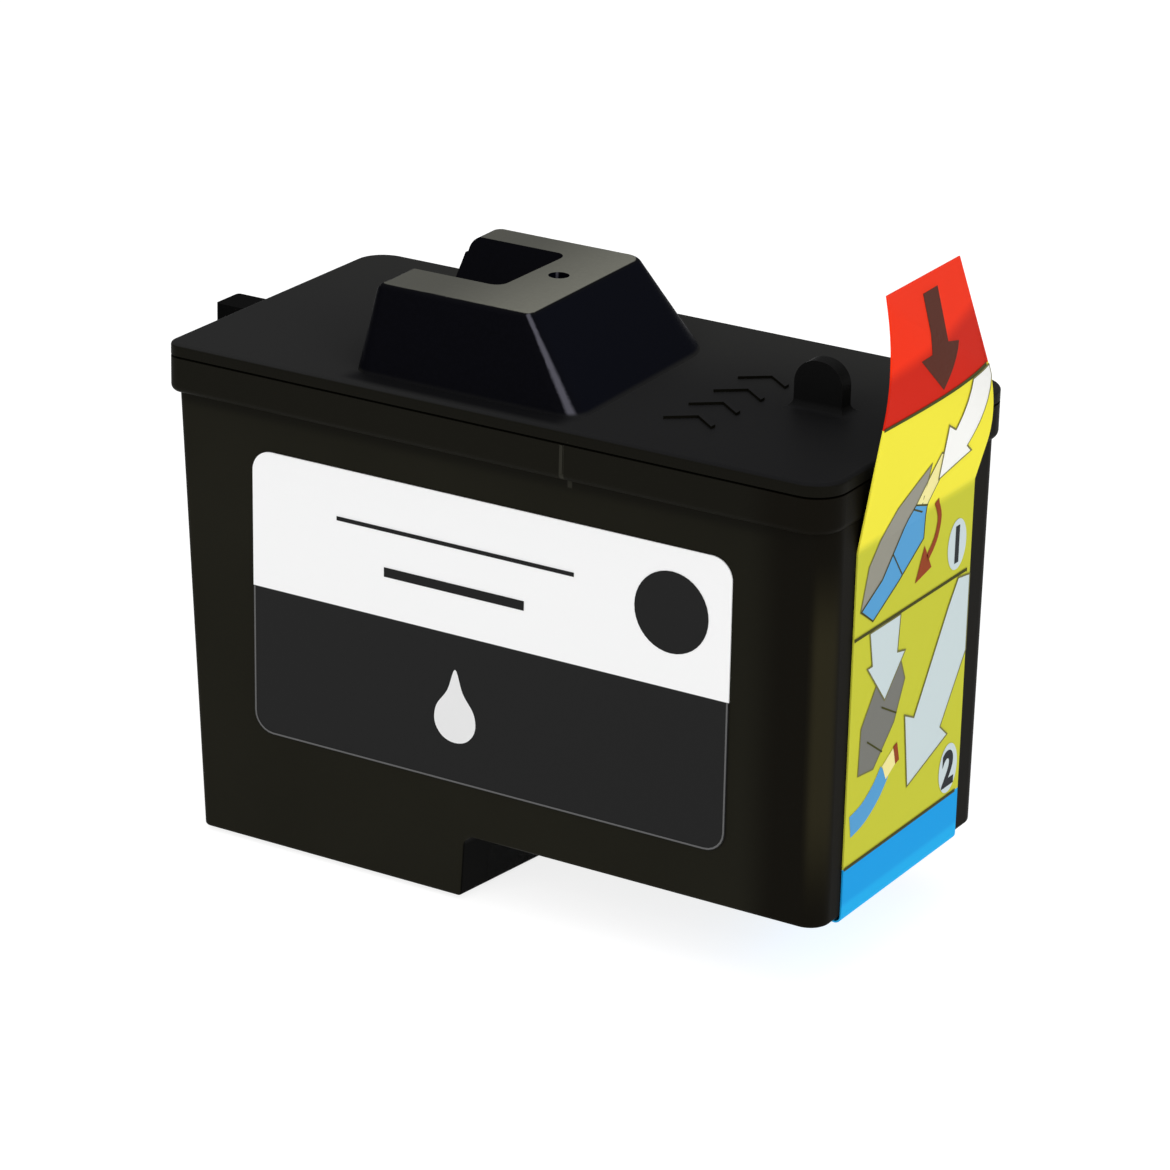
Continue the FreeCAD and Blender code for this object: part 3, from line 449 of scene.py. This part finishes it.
class Surface:
    """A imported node's upright printed side, on which flat meshes are laid from straight ahead."""

    def __init__(self, node, toward, across, origin):
        self.tree = BVHTree.FromObject(nodes[node], bpy.context.evaluated_depsgraph_get())
        self.toward = Vector(toward)
        self.across = Vector(across)
        self.up = Vector((0, 0, 1))
        self.origin = Vector(origin)

    def place(self, flat, lift):
        """The point of the surface behind a flat point, lifted off it."""
        away = 200 * MM
        start = self.origin + self.across * flat.x + self.up * flat.y
        start -= self.toward * (start - self.origin).dot(self.toward)
        found = self.tree.ray_cast(start - self.toward * away, self.toward)[0]
        if found is None:
            found = self.tree.find_nearest(start)[0]
        return found - self.toward * lift


STICKER_FACE = Surface("pull_sticker", (-1, 0, 0), (0, 1, 0), (0, LID_LOW.y, RIM))
LABEL_FACE = Surface("side_label", (0, 1, 0), (1, 0, 0), (LABEL_LOW.x, 0, LABEL_HIGH.z))


def cut_into_cells(mesh, cell):
    """Cuts a flat mesh along a square grid, so that it can follow a bent surface."""
    for axis in (Vector((1, 0, 0)), Vector((0, 1, 0))):
        places = [vertex.co.dot(axis) for vertex in mesh.verts]
        line = math.floor(min(places) / cell) * cell + cell
        while line < max(places):
            everything = mesh.verts[:] + mesh.edges[:] + mesh.faces[:]
            bmesh.ops.bisect_plane(mesh, geom=everything, plane_co=axis * line, plane_no=axis)
            line += cell


def lay(name, flat_mesh, surface, layer, material, cell):
    """Turns a flat mesh into a printed piece on a surface."""
    cut_into_cells(flat_mesh, cell)
    lift = (PRINT_LIFT + LAYER_STEP * layer) * MM
    for vertex in flat_mesh.verts:
        vertex.co = surface.place(vertex.co.copy(), lift)
    bmesh.ops.recalc_face_normals(flat_mesh, faces=flat_mesh.faces)
    flat_mesh.normal_update()
    if sum(face.normal.dot(surface.toward) for face in flat_mesh.faces) > 0:
        bmesh.ops.reverse_faces(flat_mesh, faces=flat_mesh.faces)
    mesh = bpy.data.meshes.new(name)
    flat_mesh.to_mesh(mesh)
    flat_mesh.free()
    piece = bpy.data.objects.new(name, mesh)
    bpy.context.scene.collection.objects.link(piece)
    mesh.materials.append(material)
    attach(piece, "root")


def filled(outline):
    """A flat mesh inside a closed outline, in millimetres."""
    mesh = bmesh.new()
    loop = [mesh.verts.new((across * MM, up * MM, 0)) for across, up in outline]
    face = mesh.faces.new(loop)
    bmesh.ops.triangulate(mesh, faces=[face])
    return mesh


def stroke(points, width, closed=False):
    """A flat ribbon of even width along points in millimetres, with its sharpest mitres cut."""
    least_mitre = 0.4
    spots = [Vector((across, up)) for across, up in points]
    count = len(spots)
    mesh = bmesh.new()
    rails = []
    for index, spot in enumerate(spots):
        before = spots[index - 1] if closed or index > 0 else spot
        after = spots[(index + 1) % count] if closed or index < count - 1 else spot
        incoming = (spot - before).normalized() if before != spot else (after - spot).normalized()
        outgoing = (after - spot).normalized() if after != spot else incoming
        along = (incoming + outgoing).normalized()
        side = Vector((-along.y, along.x))
        reach = width / 2 / max(least_mitre, side.dot(Vector((-incoming.y, incoming.x))))
        rails.append([
            mesh.verts.new(((spot + side * reach * sign) * MM).to_3d()) for sign in (1, -1)
        ])
    for index in range(count if closed else count - 1):
        here, there = rails[index], rails[(index + 1) % count]
        mesh.faces.new((here[0], here[1], there[1], there[0]))
    return mesh


def smooth(points, closed=True, steps=5):
    """A curve through points (Catmull-Rom), as many short lines."""
    spots = [Vector(point) for point in points]
    count = len(spots)
    curve = []
    for index in range(count if closed else count - 1):
        if closed:
            a, b, c, d = (spots[(index + k) % count] for k in (-1, 0, 1, 2))
        else:
            a, b, c, d = (spots[min(max(index + k, 0), count - 1)] for k in (-1, 0, 1, 2))
        for step in range(steps):
            t = step / steps
            curve.append(
                (b * 2 + (c - a) * t + (a * 2 - b * 5 + c * 4 - d) * t ** 2
                 + (b * 3 - a - c * 3 + d) * t ** 3) / 2
            )
    if not closed:
        curve.append(spots[-1])
    return [(point.x, point.y) for point in curve]


def arc(across, up, half_width, half_height, turns):
    """Points of an ellipse at the given turns, in radians."""
    return [
        (across + half_width * math.cos(turn), up + half_height * math.sin(turn))
        for turn in turns
    ]


def oval(across, up, half_width, half_height, count=40):
    """The outline of a whole ellipse."""
    turns = (2 * math.pi * index / count for index in range(count))
    return arc(across, up, half_width, half_height, turns)


def numeral(text, across, up, height):
    """A flat mesh of one slightly bold numeral, centred on a point."""
    curve = bpy.data.curves.new("numeral", "FONT")
    curve.body = text
    curve.align_x = "CENTER"
    curve.align_y = "CENTER"
    # The font's numerals stand about 1 / 1.4 of its size high
    curve.size = height * 1.4 * MM
    curve.offset = 0.05 * height * MM
    source = bpy.data.objects.new("numeral", curve)
    bpy.context.scene.collection.objects.link(source)
    bpy.context.view_layer.update()
    flat = bmesh.new()
    flat.from_mesh(source.to_mesh())
    source.to_mesh_clear()
    bpy.data.objects.remove(source)
    bmesh.ops.remove_doubles(flat, verts=flat.verts, dist=1e-7)
    for axis, centre in enumerate((across, up)):
        places = [vertex.co[axis] for vertex in flat.verts]
        middle = (min(places) + max(places)) / 2
        for vertex in flat.verts:
            vertex.co[axis] = vertex.co[axis] - middle + centre * MM
    return flat


def make_inks():
    return {
        name: flat_finish(f"ink_{name}", linear(*shade), shine=0.03)
        for name, shade in INKS.items()
    }


class Press:
    """Prints in named inks on one surface. Places and widths are in millimetres."""

    def __init__(self, surface, slot, cell, inks):
        self.surface = surface
        self.slot = slot
        self.cell = cell
        self.inks = inks

    def stamp(self, name, flat_mesh, ink, layer):
        lay(name, flat_mesh, self.surface, layer, self.inks[ink], self.cell)

    def fill(self, name, outline, ink, layer=1):
        self.stamp(name, filled(outline), ink, layer)

    def line(self, name, points, ink="line_grey", width=0.16, layer=4, closed=False):
        self.stamp(name, stroke(points, width, closed), ink, layer)

    def shape(self, name, outline, ink, layer, edge="line_grey"):
        """A filled outline with a thin line round it."""
        self.fill(name, outline, ink, layer)
        self.line(name + "_outline", outline, edge, layer=layer + 1, closed=True)

    def numbered(self, name, text, across, up):
        """A numeral on a pale oval."""
        self.fill(name + "_ground", oval(across, up, 1.75, 2.35), "pale", 2)
        self.stamp(name, numeral(text, across, up, 3.3), "numeral", 3)


def print_fields(press):
    """The tab's arrow and the lines between the sticker's fields."""
    arrow = [
        (14.9, 14.3), (19.2, 13.8), (18.3, 9.4), (21.1, 8.7),
        (16.5, 5.7), (11.8, 9.5), (14.2, 9.4),
    ]
    press.fill("tab_arrow", arrow, "arrow_brown")
    for name, height in (
        ("red_foot_line", RED_FOOT), ("divider_line", DIVIDER), ("blue_head_line", BLUE_HEAD),
    ):
        press.line(name, [(STICKER_FRONT, height), (STICKER_BACK, height)], "line_dark", 0.3)


def print_first_drawing(press):
    """A block with a strip along its lower edge, a broad arrow at the strip's pale end, and a turn."""
    block = [
        (16.9, -1.2), (12.0, -3.9), (7.9, -8.0), (6.7, -11.7), (8.9, -13.1), (16.9, -7.9),
    ]
    press.shape("first_block", block, "grey", 1)
    strip = [
        (15.6, -4.7), (18.0, -5.4), (17.8, -8.4), (13.4, -11.0),
        (9.0, -13.2), (6.8, -11.7), (10.4, -9.9), (12.6, -7.7),
    ]
    press.shape("first_strip", strip, "blue", 3, "line_dark")
    press.line("first_strip_line_1", [(15.3, -5.0), (17.6, -6.0)], "line_dark", layer=5)
    press.line("first_strip_line_2", [(12.2, -8.2), (14.0, -10.5)], "line_dark", layer=5)
    pulled = [(18.4, -0.6), (20.5, -1.5), (17.9, -5.4), (15.6, -4.7)]
    press.shape("first_pulled_strip", pulled, "pale_yellow", 2)
    pull = [
        (22.9, 4.9), (27.2, 4.9), (27.2, 3.9), (23.15, -1.3),
        (24.3, -2.1), (19.0, -3.3), (18.5, 1.9), (20.0, 1.1),
    ]
    press.shape("first_arrow", pull, "white", 5)
    sweep = smooth([(19.9, -5.6), (20.7, -7.3), (20.1, -9.2), (18.6, -10.6)], closed=False)
    press.line("first_turn", sweep, "brown_red", 0.7, 3)
    head = [(19.6, -11.6), (18.1, -9.2), (16.6, -12.2)]
    press.fill("first_turn_head", head, "brown_red", 3)
    press.numbered("numeral_1", "1", 24.4, -11.0)


def print_second_drawing(press):
    """The strip comes off below the block, with one arrow at the block and one at its end."""
    down = [
        (8.6, -14.2), (14.2, -14.2), (13.9, -17.6), (15.4, -17.9),
        (11.9, -21.4), (8.4, -17.4), (9.3, -17.4),
    ]
    press.shape("second_press_arrow", down, "pale", 3)
    block = [
        (14.2, -17.6), (10.4, -19.4), (7.8, -22.7), (7.6, -27.0),
        (10.4, -27.3), (13.9, -24.1), (15.6, -20.6),
    ]
    press.shape("second_block", block, "grey_dark", 1)
    press.line("second_block_line_1", [(11.4, -21.9), (14.3, -23.4)], "line_dark")
    press.line("second_block_line_2", [(9.0, -24.3), (11.9, -26.2)], "line_dark")
    strip = smooth([(6.6, -31.4), (8.9, -30.9), (11.1, -29.7), (12.6, -28.3)], closed=False)
    press.line("second_strip", strip, "blue", 2.1, 1)
    press.line("second_strip_end", [(12.5, -28.4), (14.4, -27.4)], "pale_yellow", 1.7, 2)
    press.line("second_strip_band", [(14.3, -27.4), (15.0, -27.2)], "brown_red", 1.9, 3)
    pull = [
        (27.2, -14.6), (27.2, -21.8), (22.9, -27.7), (24.4, -28.9), (17.0, -31.3),
        (15.9, -24.2), (17.7, -25.0), (23.4, -16.4), (25.0, -14.3),
    ]
    press.shape("second_arrow", pull, "pale", 4)
    press.numbered("numeral_2", "2", 25.0, -32.4)


def print_sticker(inks):
    press = Press(STICKER_FACE, "sticker_print", BENT_CELL, inks)
    print_fields(press)
    print_first_drawing(press)
    print_second_drawing(press)


def print_label(inks):
    """The dark band's thin outline, the ink dot, a plain drop and two rules in place of words."""
    press = Press(LABEL_FACE, "label_print", FLAT_CELL, inks)
    width = (LABEL_HIGH.x - LABEL_LOW.x) / MM
    depth = (LABEL_HIGH.z - LABEL_LOW.z) / MM
    inset = 0.14
    bend = 1.9

    def corner(across, up, start):
        turns = (math.radians(start + 15 * step) for step in range(7))
        return arc(across, up, bend, bend, turns)

    line = [(inset, -WHITE_BAND)]
    line += corner(inset + bend, inset + bend - depth, 180)
    line += corner(width - inset - bend, inset + bend - depth, 270)
    line += [(width - inset, -WHITE_BAND)]
    press.line("band_outline", line, "label_line", layer=1)

    press.fill("ink_dot", oval(43.2, -6.0, 3.65, 3.75), "label_dark")
    half = [(0.8, -2.1), (1.95, -3.8), (2.1, -5.4), (1.3, -6.6)]
    drop = [(0, 0)] + half + [(0, -7.0)] + [(-across, up) for across, up in reversed(half)]
    drop = smooth([(21.5 + across, -16.3 + up) for across, up in drop])
    press.fill("drop_mark", drop, "label_pale")
    press.line("upper_rule", [(9.0, -4.7), (33.5, -4.7)], "label_dark", 0.4, 1)
    press.line("lower_rule", [(14.0, -8.7), (28.5, -8.7)], "label_dark", 0.9, 1)


def add_camera():
    """The photo's viewpoint, fitted to the cartridge's edges."""
    azimuth = math.radians(VIEW_AZIMUTH)
    elevation = math.radians(VIEW_ELEVATION)
    roll = math.radians(VIEW_ROLL)
    back = Vector((
        math.sin(azimuth) * math.cos(elevation),
        -math.cos(azimuth) * math.cos(elevation),
        math.sin(elevation),
    ))
    level = Vector((math.cos(azimuth), math.sin(azimuth), 0))
    upright = back.cross(level)
    right = math.cos(roll) * level + math.sin(roll) * upright
    up = -math.sin(roll) * level + math.cos(roll) * upright
    place = Vector((LID_LOW.x, LID_LOW.y, RIM)) + Vector(VIEW_PLACE) * MM
    data = bpy.data.cameras.new("camera")
    data.lens = LENS
    data.sensor_width = SENSOR
    camera = bpy.data.objects.new("camera", data)
    bpy.context.scene.collection.objects.link(camera)
    turn = Matrix((right, up, back)).transposed().to_4x4()
    camera.matrix_world = Matrix.Translation(place) @ turn
    bpy.context.scene.camera = camera


def add_world():
    """Soft light from overhead that fades towards the horizon."""
    world = bpy.data.worlds.new("soft_overhead")
    world.use_nodes = True
    tree = world.node_tree
    split = tree.nodes.new("ShaderNodeSeparateXYZ")
    tree.links.new(tree.nodes.new("ShaderNodeTexCoord").outputs["Generated"], split.inputs[0])
    fade = tree.nodes.new("ShaderNodeMapRange")
    fade.interpolation_type = "SMOOTHSTEP"
    tree.links.new(split.outputs["Z"], fade.inputs["Value"])
    for name, number in (("From Min", 0.3), ("From Max", 0.95), ("To Min", 0.16), ("To Max", 1.1)):
        fade.inputs[name].default_value = number
    background = tree.nodes["Background"]
    background.inputs["Color"].default_value = WHITE
    tree.links.new(fade.outputs["Result"], background.inputs["Strength"])
    bpy.context.scene.world = world


def add_floor():
    """A plain floor that glows, so that it stays white. Its light reaches the cartridge too."""
    reach = 4.0
    level = -0.02 * MM
    corners = [(-reach, -reach), (reach, -reach), (reach, reach), (-reach, reach)]
    mesh = bpy.data.meshes.new("floor")
    mesh.from_pydata([(x, y, level) for x, y in corners], [], [(0, 1, 2, 3)])
    floor = bpy.data.objects.new("floor", mesh)
    bpy.context.scene.collection.objects.link(floor)
    mesh.materials.append(Shader("floor_white").finish(
        Base_Color=(0.35, 0.35, 0.35, 1), Roughness=0.9, Specular_IOR_Level=0.0,
        Emission_Color=WHITE, Emission_Strength=0.83,
    ))


def add_area(name, place, size, power):
    """A square area light, in metres and watts, aimed at the cartridge."""
    aim = Vector((0.015, 0, 0.03))
    data = bpy.data.lights.new(name, "AREA")
    data.size = size
    data.energy = power
    light = bpy.data.objects.new(name, data)
    bpy.context.scene.collection.objects.link(light)
    light.location = place
    light.rotation_euler = (Vector(place) - aim).to_track_quat("Z", "Y").to_euler()


def add_stage():
    add_world()
    add_floor()
    add_area("front_light", (-0.12, -0.8, 0.42), 0.6, 1.9)
    add_area("right_light", (0.8, -0.3, 0.35), 0.5, 1.7)
    bpy.context.scene.view_settings.view_transform = "Standard"


dress_nodes()
inks = make_inks()
print_sticker(inks)
print_label(inks)
add_camera()
add_stage()
